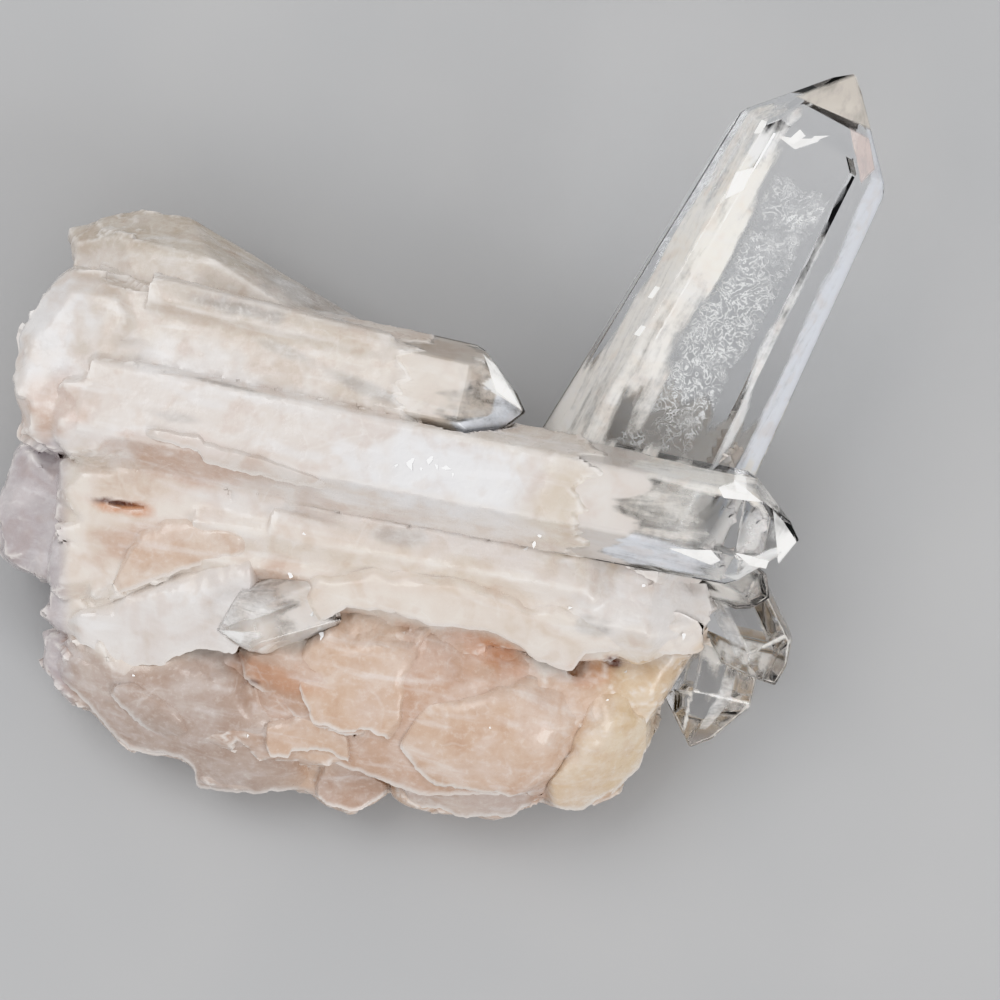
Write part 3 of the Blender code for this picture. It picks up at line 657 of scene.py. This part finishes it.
def plate(terrain, tint, lift, upper, lower, seed, columns=110, rows=24):
    """A broken plate that rises out of the body at its upper edge and ends in a ragged rim at its lower one.

    Across: straight lines from the upper edge to the lower one. Height: the second-degree surface that best
    fits the body's heights, sunk at the upper edge and the ends, raised by the lift towards the rim.
    """
    u, v = grid(np.linspace(0, 1, columns), 1 - (1 - np.linspace(0, 1, rows)) ** 1.4)
    low = along_edge(lower, u)
    high = along_edge(upper, u) - np.outer(np.sin(math.pi * u), (0, TUCK))
    width = np.hypot(*(low - high).T)
    ragged = np.column_stack([low, np.zeros(len(u))])
    shift = np.column_stack([cloud(ragged, 0.9, seed), cloud(ragged, 0.9, seed + 5)])
    low = low + RAGGED * smooth(0.3, 2.5, width)[:, None] * shift
    seen = high + (low - high) * v[:, None]
    height = np.full(len(u), 12.0)
    for _ in range(3):
        plan = seen_at(seen, height)
        ground = height_at(terrain, plan)
        x, y = (plan - plan.mean(0)).T
        terms = np.column_stack([np.ones(len(u)), x, y, x * x, x * y, y * y])
        on_body = ground > 1.0
        factors = np.linalg.lstsq(terms[on_body], ground[on_body], rcond=None)[0]
        height = terms @ factors
    over = np.quantile((ground - height)[on_body], 0.75)
    from_rim = (1 - v) * width
    rise = smooth(0.0, 0.45, v + 0.10 * cloud(np.column_stack([plan, height]), 3.0, seed + 2))
    ends = smooth(0.0, 0.14, np.minimum(u, 1 - u))
    rise *= ends
    swell = 0.16 * cloud(np.column_stack([plan, height]), 5.0, seed + 9, 2)
    worn = 0.25 * smooth(0.5, 0.0, from_rim) ** 2
    top = height - SUNK + rise * (SUNK + lift + np.clip(over, 0, 0.8)) + swell - worn
    points = np.column_stack([plan, top])
    rose = smooth(-0.5, 1.2, below_rim(points))
    tints = blend(zone_tint(points, rose), tint, OWN_TINT * rise)
    below = points - np.outer(0.02 + PLATE_THICKNESS * ends, (0, 0, 1))
    index = np.arange(len(u)).reshape(columns, rows)
    border = np.concatenate([index[:, 0], index[-1, 1:], index[-2::-1, -1], index[0, -2:0:-1]])
    after = np.roll(border, -1)
    under = grid_faces(index) + len(u)
    walls = np.stack([border, after, after + len(u), border + len(u)], -1)
    faces = np.concatenate([under[:, ::-1] - len(u), under, walls])
    # Painted highlight: a pale band along the plate's lower rim, for the finish to whiten
    rim = smooth(0.55, 0.1, from_rim) * smooth(0.3, 2.5, width) * ends
    return np.vstack([points, below]), faces, np.tile(stained(tints, points), (2, 1)), np.append(rim, 0 * rim)


def add_plates(body):
    """All the plates as one piece."""
    terrain = height_map(body)
    parts = [plate(terrain, *row, seed=300 + 20 * k) for k, row in enumerate(PLATES.values())]
    piece = joined("broken_plates", parts, ("tint", "rim"))
    close_ends(piece, PLATE_JOIN)
    return piece


class Signal:
    """One number that varies over a surface. Sums on it add Math nodes."""

    def __init__(self, look, socket):
        self.look, self.socket = look, socket

    def sum_with(self, operation, first, second):
        made = self.look.node("ShaderNodeMath", {"operation": operation}, {0: first, 1: second})
        return Signal(self.look, made.outputs[0])

    def __add__(self, other):
        return self.sum_with("ADD", self, other)

    def __sub__(self, other):
        return self.sum_with("SUBTRACT", self, other)

    def __rsub__(self, other):
        return self.sum_with("SUBTRACT", other, self)

    def __mul__(self, other):
        return self.sum_with("MULTIPLY", self, other)

    def __pow__(self, other):
        return self.sum_with("POWER", self, other)

    __radd__ = __add__
    __rmul__ = __mul__


class Look:
    """A finish: a Principled shader with its fixed values, and the nodes that vary it."""

    def __init__(self, name, **fixed):
        self.material = bpy.data.materials.new(name)
        self.material.use_nodes = True
        self.tree = self.material.node_tree
        self.shader = self.tree.nodes["Principled BSDF"]
        self.out = self.tree.nodes["Material Output"]
        self.set(**fixed)
        self.place = self.node("ShaderNodeTexCoord").outputs["Object"]

    def set(self, **values):
        for name, value in values.items():
            self.feed(self.shader.inputs[name.replace("_", " ").title().replace("Ior", "IOR")], value)

    def feed(self, socket, value):
        value = getattr(value, "socket", value)
        if isinstance(value, bpy.types.NodeSocket):
            self.tree.links.new(value, socket)
        else:
            socket.default_value = value

    def node(self, kind, settings=None, inputs=None):
        made = self.tree.nodes.new(kind)
        for name, value in (settings or {}).items():
            setattr(made, name, value)
        for name, value in (inputs or {}).items():
            self.feed(made.inputs[name], value)
        return made

    def where(self, stretch=(1, 1, 1), turn=(0, 0, 0)):
        """The place, with patterns drawn out by the stretch along the turned axes."""
        settings = {"vector_type": "TEXTURE"}
        inputs = {"Vector": self.place, "Scale": stretch, "Rotation": tuple(math.radians(a) for a in turn)}
        return self.node("ShaderNodeMapping", settings, inputs).outputs[0]

    def noise(self, size, detail=3.0, place=None, roughness=0.55, distortion=0.0):
        inputs = {"Vector": place or self.place, "Scale": 1 / (size * MM), "Detail": detail,
                  "Roughness": roughness, "Distortion": distortion}
        return Signal(self, self.node("ShaderNodeTexNoise", None, inputs).outputs[0])

    def cell_edges(self, size, place):
        """How far a place is from the nearest border between scattered cells."""
        inputs = {"Vector": place, "Scale": 1 / (size * MM)}
        made = self.node("ShaderNodeTexVoronoi", {"feature": "DISTANCE_TO_EDGE"}, inputs)
        return Signal(self, made.outputs["Distance"])

    def bent_place(self, bend, size):
        """The place, pushed about by soft noise, in millimetres."""
        inputs = {"Vector": self.place, "Scale": 1 / (size * MM), "Detail": 2.0}
        push = self.node("ShaderNodeTexNoise", None, inputs).outputs["Color"]
        inputs = {0: push, 1: (bend * MM,) * 3, 2: self.place}
        return self.node("ShaderNodeVectorMath", {"operation": "MULTIPLY_ADD"}, inputs).outputs[0]

    def ramp(self, signal, low, high, start=0.0, end=1.0):
        inputs = {"Value": signal, "From Min": low, "From Max": high, "To Min": start, "To Max": end}
        made = self.node("ShaderNodeMapRange", {"interpolation_type": "SMOOTHSTEP"}, inputs)
        return Signal(self, made.outputs[0])

    def mix(self, share, first, second, kind="MIX"):
        settings = {"data_type": "RGBA", "blend_type": kind}
        made = self.node("ShaderNodeMix", settings)
        for index, value in ((0, share), (6, first), (7, second)):
            value = (*value, 1) if isinstance(value, tuple) and len(value) == 3 else value
            self.feed(made.inputs[index], value)
        return made.outputs[2]

    def stored(self, name):
        """A number stored on the piece."""
        return Signal(self, self.node("ShaderNodeAttribute", {"attribute_name": name}).outputs["Fac"])

    def stored_tint(self):
        return self.node("ShaderNodeAttribute", {"attribute_name": "tint"}).outputs["Color"]

    def bump(self, height, depth):
        inputs = {"Height": height, "Distance": depth * MM, "Strength": 1.0}
        return self.node("ShaderNodeBump", None, inputs).outputs[0]

    def let_lamps_through(self, tint):
        """Rays from lamps pass as through thin glass, so what is inside is lit."""
        lamp = self.node("ShaderNodeLightPath").outputs["Is Shadow Ray"]
        open_way = self.node("ShaderNodeBsdfTransparent", None, {"Color": (*tint, 1)})
        mixed = self.node("ShaderNodeMixShader", None, {0: lamp, 1: self.shader.outputs[0]})
        self.feed(mixed.inputs[2], open_way.outputs[0])
        self.feed(self.out.inputs["Surface"], mixed.outputs[0])


def clouded(look, tint):
    """A milky tint with drifting clouds, streaks along the long point, and warm smudges."""
    drift = look.noise(5.0, 3, distortion=0.8)
    wisps = look.noise(1.6, 3, look.where((6, 1, 1), (0, 0, LONG_TURN)), distortion=0.4)
    smudge = look.noise(2.6, 2, distortion=0.3)
    colour = look.mix(look.ramp(drift, 0.40, 0.66, 0.0, 0.22), tint, (0.93, 0.92, 0.91))
    colour = look.mix(look.ramp(wisps, 0.50, 0.72, 0.0, 0.26), colour, (0.92, 0.92, 0.93))
    colour = look.mix(look.ramp(drift, 0.46, 0.30, 0.0, 0.55), colour, (0.90, 0.84, 0.80), "MULTIPLY")
    return look.mix(look.ramp(smudge, 0.5, 0.72, 0.0, 0.55), colour, (0.88, 0.81, 0.76), "MULTIPLY")


def mass_finish():
    """Waxy milky quartz: clouded tints, fine grains, faint healed cracks, painted highlights on thin edges,
    satin gloss.
    """
    look = Look("milky_quartz", ior=QUARTZ_IOR, specular_ior_level=0.5, coat_roughness=0.06)
    rim = look.stored("rim")
    tint = look.stored_tint()
    blue = Signal(look, look.node("ShaderNodeSeparateColor", None, {"Color": tint}).outputs["Blue"])
    grains = look.noise(0.7, 3, roughness=0.7)
    grainy = look.ramp(blue, 0.6, 0.4, 0.15, 1.0)
    colour = clouded(look, tint)
    colour = look.mix(grainy * look.ramp(grains, 0.5, 0.72, 0.0, 0.2), colour, (0.93, 0.90, 0.86))
    dark_grain = grainy * look.ramp(grains, 0.48, 0.30, 0.0, 0.26)
    colour = look.mix(dark_grain, colour, (0.84, 0.76, 0.70), "MULTIPLY")
    crack = look.ramp(look.cell_edges(6.5, look.bent_place(1.6, 2.2)), 0.0, 0.03, 1.0, 0.0)
    healed = crack * look.ramp(look.noise(3.0, 2), 0.48, 0.64, 0.0, 0.16)
    colour = look.mix(healed, colour, (0.92, 0.90, 0.87))
    # Painted highlight: thin edges and plate rims are mixed towards a pale white
    colour = look.mix(rim * 0.7, colour, RIM_HIGHLIGHT)
    height = look.noise(1.8, 2) * 0.5 + look.noise(0.4, 2) * 0.12
    look.set(base_color=colour, roughness=look.ramp(look.noise(1.1, 1), 0.3, 0.7, 0.22, 0.42),
             normal=look.bump(height, 0.16), coat_weight=look.ramp(look.noise(2.0, 1), 0.35, 0.65, 0.0, 0.3))
    return look.material


def clear_finish():
    """Clear quartz: faces that undulate slowly and a slight, uneven haze in the gloss."""
    look = Look("clear_quartz", base_color=(0.985, 0.99, 1.0, 1), ior=QUARTZ_IOR, transmission_weight=1.0,
                specular_ior_level=0.5)
    haze = look.ramp(look.noise(1.8, 3), 0.45, 0.75, 0.0, 0.12)
    look.set(roughness=haze, normal=look.bump(look.noise(5.0, 1), 0.03))
    look.let_lamps_through((0.93, 0.94, 0.95))
    inside = look.node("ShaderNodeVolumeAbsorption", None, {"Color": PASSED_TINT, "Density": ABSORPTION})
    look.feed(look.out.inputs["Volume"], inside.outputs[0])
    return look.material


def hull_finish(name, turn):
    """Milk under a clear skin: streaks along the crystal and small clouds, closing up where it is strong."""
    look = Look(name, roughness=0.45)
    fade = look.stored("fade")
    streaks = look.noise(1.3, 4, look.where((6, 1, 1), (0, 0, turn)), roughness=0.62, distortion=0.4)
    uneven = streaks * 0.7 + look.noise(0.8, 4, roughness=0.65) * 0.3
    colour = clouded(look, look.stored_tint())
    look.set(base_color=colour, alpha=look.ramp(uneven + fade * 0.75, 0.68, 1.2) * 0.96)
    return look.material


def net_finish():
    """A healed crack: worm-like white lines in patches over a faint haze."""
    look = Look("net_veil", base_color=(0.93, 0.93, 0.92, 1), roughness=0.5)
    fade = look.stored("fade")
    lines = look.noise(1.3, 2, distortion=2.2)
    mask = 1 - look.ramp((lines - 0.5) ** 2, 0.0, 0.0026)
    mask = mask * look.ramp(look.noise(4.0, 3), 0.32, 0.55) * 0.95
    mask = mask + look.ramp(look.noise(2.6, 4), 0.45, 0.8, 0.0, 0.4)
    look.set(alpha=mask * fade)
    return look.material


def painted_reflection_finish():
    """Painted reflections: glowing pearly sheets of uneven strength, for light thrown back from inside the
    crystal.
    """
    # The emission makes the painted reflections glow
    look = Look("bright_face", roughness=0.4, emission_strength=0.35)
    fade = look.stored("fade")
    uneven = look.ramp(look.noise(1.5, 3, look.where((4, 1, 1), (0, 0, TALL_TURN))), 0.3, 0.6, 0.6, 1.0)
    tint = look.stored_tint()
    look.set(base_color=tint, emission_color=tint, alpha=uneven * fade)
    return look.material


def hull(point, columns, rows, seed):
    """A closed skin a little way under a clear point's faces, drawn to the axis at both ends.

    Along it: from the clear skin's start to the apex. Round it: straight out from the axis to the nearest
    face. Milk: the strongest of its windows and its painted edge light at each place.
    """
    normals, distances = point_planes(point)
    root, apex = POINTS[point][:2]
    along, side, up = axes_of(point)
    length = np.linalg.norm(np.subtract(apex, root)) - 2 * HULL_DEPTH
    start = CLEAR_FROM[point] + 0.2
    run, angle = grid(np.linspace(start, length, columns), 2 * math.pi * np.arange(rows) / rows)
    middle = np.array(root) + run[:, None] * along
    out = np.cos(angle)[:, None] * side + np.sin(angle)[:, None] * up
    slope = out @ normals.T
    room = distances - HULL_DEPTH - middle @ normals.T
    reach = np.maximum(np.where(slope > 0.05, room / np.maximum(slope, 0.05), np.inf).min(1), 0.0)
    reach[:rows] = 0.0
    reach[-rows:] = 0.0
    points = middle + reach[:, None] * out
    nearest = np.sort(distances - points @ normals.T, axis=1)
    # Painted light: pale milk along the edges between the point's faces
    edge = smooth(EDGE_WIDTH, 0.3 * EDGE_WIDTH, nearest[:, 1] - nearest[:, 0])
    edge *= run > MILK_TO.get(point, 0) + 0.5
    index = np.arange(columns * rows).reshape(columns, rows)
    faces = grid_faces(np.column_stack([index, index[:, 0]]))
    painted_edge_light, windows = INNER_MILK[point]
    around = np.column_stack([run / 6, reach * np.cos(angle), reach * np.sin(angle)])
    ragged = cloud(around, 1.5, seed)
    fade, tint = np.zeros(len(run)), WARM_MILK
    for middle_angle, half, first, last, strength, window_tint in windows:
        off = np.abs((np.degrees(angle) - middle_angle + 180) % 360 - 180) + 5 * ragged
        place = run + 2.2 * ragged
        across = smooth(half + 4, half - 4, off)
        window = strength * across * smooth(first - 1, first + 2, place) * smooth(last + 4, last - 1, place)
        tint = blend(tint, window_tint, smooth(fade, fade + 0.2, window))
        fade = np.maximum(fade, window)
    fade = np.maximum(fade, painted_edge_light * edge * smooth(-0.9, 0.5, ragged))
    return points, faces, fade, tint


def add_hulls():
    """One hull for each clear point, its cells about a quarter of a millimetre wide."""
    finishes = {"tall_point": hull_finish("tall_milk", TALL_TURN)}
    short_milk = hull_finish("short_milk", LONG_TURN)
    sizes = {"tall_point": (150, 150), "long_point": (90, 130), "upper_point": (60, 130)}
    for index, point in enumerate(INNER_MILK):
        made = hull(point, *sizes.get(point, (64, 110)), 601 + index)
        piece = joined(point + "_milk", [made], ("fade", "tint"))
        close_ends(piece)
        keep(piece, finishes.get(point, short_milk), True)


def close_ends(piece, nearer=0.004):
    """Join the places that lie on each other, drop the faces that vanish, and turn all faces outward."""
    shape = bmesh.new()
    shape.from_mesh(piece.data)
    bmesh.ops.remove_doubles(shape, verts=shape.verts, dist=nearer * MM)
    bmesh.ops.recalc_face_normals(shape, faces=shape.faces)
    shape.to_mesh(piece.data)
    shape.free()


def under_face(point, seen, depth):
    """Places where the eye sees them, a depth under the lowest of a clear point's upper face planes."""
    normals, distances = point_planes(point)
    upward = normals[:, 2] > 0.02
    normals, distances = normals[upward], distances[upward]
    height = np.full(len(seen), float(POINTS[point][1][2]))
    for _ in range(4):
        plan = seen_at(seen, height)
        height = ((distances - np.reshape(depth, (-1, 1)) - plan @ normals[:, :2].T) / normals[:, 2]).min(1)
    return np.column_stack([plan, height])


def veil_patch(point, depth, corners, wave, seed, columns, rows):
    """A sheet between four seen corners: straight from side to side, at a drifting depth under the face."""
    u, v = grid(np.linspace(0, 1, columns), np.linspace(0, 1, rows))
    first, second, third, fourth = np.array(corners)
    seen = blend(blend(first, second, u), blend(fourth, third, u), v)
    drift = wave * cloud(np.column_stack([seen, 0 * u]), 5.0, seed)
    faces = grid_faces(np.arange(len(u)).reshape(columns, rows))
    inset = np.minimum(np.minimum(u, 1 - u), np.minimum(v, 1 - v))
    return under_face(point, seen, depth + drift), faces, inset, v


def thin_piece(name, parts):
    """Patches joined in one piece, each a closed sheet."""
    piece = joined(name, parts, ("fade", "tint"))
    add_modifier(piece, "SOLIDIFY", thickness=0.03 * MM, offset=0)
    return piece


# Painted reflections: thin glowing sheets under the clear points' faces
def painted_reflection_sheets():
    parts = []
    for point, rows in PAINTED_REFLECTIONS.items():
        for depth, tint, (near, far), corners in rows:
            points, faces, inset, v = veil_patch(point, depth, corners, 0.0, 0, 24, 14)
            fade = smooth(0.0, 0.05, inset) * (near + (far - near) * smooth(0.35, 0.65, v))
            parts.append((points, faces, fade, np.tile(tint, (len(fade), 1))))
    return thin_piece("painted_reflection_sheets", parts)


def net_veil():
    points, faces, inset, v = veil_patch("tall_point", NET_UNDER, NET_CORNERS, 0.5, 41, 110, 50)
    fade = smooth(0.0, 0.12, inset + 0.06 * cloud(points, 2.0, 43))
    return thin_piece("net_veil", [(points, faces, fade, np.ones((len(fade), 3)))])


def keep(piece, material, smooth_faces=False):
    """Put a finished piece on the part, in place of the CAD solid."""
    piece.data.materials.clear()
    piece.data.materials.append(material)
    piece.data.polygons.foreach_set("use_smooth", np.full(len(piece.data.polygons), smooth_faces))
    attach(piece, "root")
    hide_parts(NODE)


def add_mass():
    body = mass_mesh()
    tint_mass(body, *shape_mass(body))
    milky = mass_finish()
    plates = add_plates(body)
    for piece in (plates, body):
        keep(piece, milky, True)
        piece.data.set_sharp_from_angle(angle=math.radians(SHARP_TURN))
    add_glints(height_map(plates, body))


def glint(place, size, seed):
    """A faceted chip: a tilted five-sided top with uneven corners, drawn to a point below."""
    corners = 5
    cells = np.column_stack([np.arange(corners)] * 3)
    angle = 2 * math.pi * (np.arange(corners) + 0.6 * lattice(cells, seed)) / corners
    reach = size * (0.55 + 0.45 * lattice(cells + 9, seed))
    swing = math.pi * lattice(np.array([[corners, 3, 7]]), seed)
    reach = reach * (1 + 0.5 * np.cos(2 * (angle - swing)))
    tilt = np.array(GLINT_FACE) + 0.10 * (lattice(np.arange(1, 10).reshape(3, 3), seed) - 0.5)
    tilt = tilt / np.linalg.norm(tilt)
    first = np.cross(tilt, (0, 1, 0))
    first /= np.linalg.norm(first)
    ring = np.outer(reach * np.cos(angle), first) + np.outer(reach * np.sin(angle), np.cross(tilt, first))
    top = np.array(place) + 0.06 * tilt
    points = np.vstack([top + ring, top - 1.2 * size * tilt])
    sides = [(k, corners, (k + 1) % corners) for k in range(corners)]
    return points, [tuple(range(corners))] + sides


def add_glints(terrain):
    """Chips that catch the lamp, each on the surface where the eye sees it."""
    seen = np.array([row[:2] for row in GLINTS])
    height = np.full(len(seen), 20.0)
    for _ in range(4):
        height = height_at(terrain, seen_at(seen, height))
    places = np.column_stack([seen_at(seen, height), height])
    rows = enumerate(zip(places, GLINTS))
    piece = joined("glints", [glint(place, GLINT_SHRINK * row[2], 701 + k) for k, (place, row) in rows])
    close_ends(piece)
    # The near-white base is a painted highlight; the strong coat also reflects the lamp
    look = Look("glint", base_color=(0.93, 0.93, 0.93, 1), coat_weight=1.0, coat_ior=2.2, coat_roughness=0.05)
    look.set(roughness=look.ramp(look.noise(0.4, 2), 0.3, 0.7, 0.1, 0.3))
    keep(piece, look.material)


def add_clear_points():
    clear = clear_finish()
    for name, start in CLEAR_FROM.items():
        piece = convex_piece(name, clear_corners(name, start))
        add_modifier(piece, "BEVEL", width=EDGE_ROUND * MM, segments=2, limit_method="ANGLE", angle_limit=0.3)
        keep(piece, clear)


def add_veils():
    """Inside the clear points: milk under their skins, a net-like crack, sheets of painted reflection."""
    add_hulls()
    keep(net_veil(), net_finish(), True)
    keep(painted_reflection_sheets(), painted_reflection_finish(), True)


def light_the_table():
    """A pale floor, soft lights from the upper left and the lower right, and an even sky."""
    bpy.ops.mesh.primitive_plane_add(size=2.0, location=(0, 0, -0.02 * MM))
    floor = bpy.context.object
    floor.name = "floor"
    paper = Look("pale_paper", roughness=0.8)
    paper.set(base_color=paper.mix(paper.ramp(paper.noise(40, 2), 0.3, 0.7), *PAPER_TINTS))
    floor.data.materials.append(paper.material)
    for name, (place, size, power) in LAMPS.items():
        data = bpy.data.lights.new(name, "AREA")
        data.size, data.energy = size, power
        lamp = new_object(name, data)
        lamp.location = place
        lamp.rotation_euler = Vector(place).to_track_quat("Z", "Y").to_euler()
    world = bpy.data.worlds.new("sky")
    bpy.context.scene.world = world
    world.use_nodes = True
    sky = world.node_tree.nodes["Background"].inputs
    sky["Color"].default_value, sky["Strength"].default_value = SKY_TINT, SKY_STRENGTH


def limit_bounces():
    """Light paths long enough for the clear points, and no longer."""
    paths = bpy.context.scene.cycles
    paths.diffuse_bounces, paths.glossy_bounces = 2, 2
    paths.transmission_bounces, paths.max_bounces = 8, 8
    paths.transparent_max_bounces = 12


def set_eye():
    bpy.context.scene.view_settings.view_transform = "Khronos PBR Neutral"
    data = bpy.data.cameras.new("eye")
    data.lens, data.sensor_width = LENS, SENSOR
    data.clip_start, data.clip_end = 0.01, 10
    eye = new_object("eye", data)
    eye.location = Vector(EYE_TARGET) * MM + Vector((0, 0, EYE_DISTANCE * MM))
    bpy.context.scene.camera = eye


add_mass()
add_clear_points()
add_veils()
light_the_table()
set_eye()
limit_bounces()
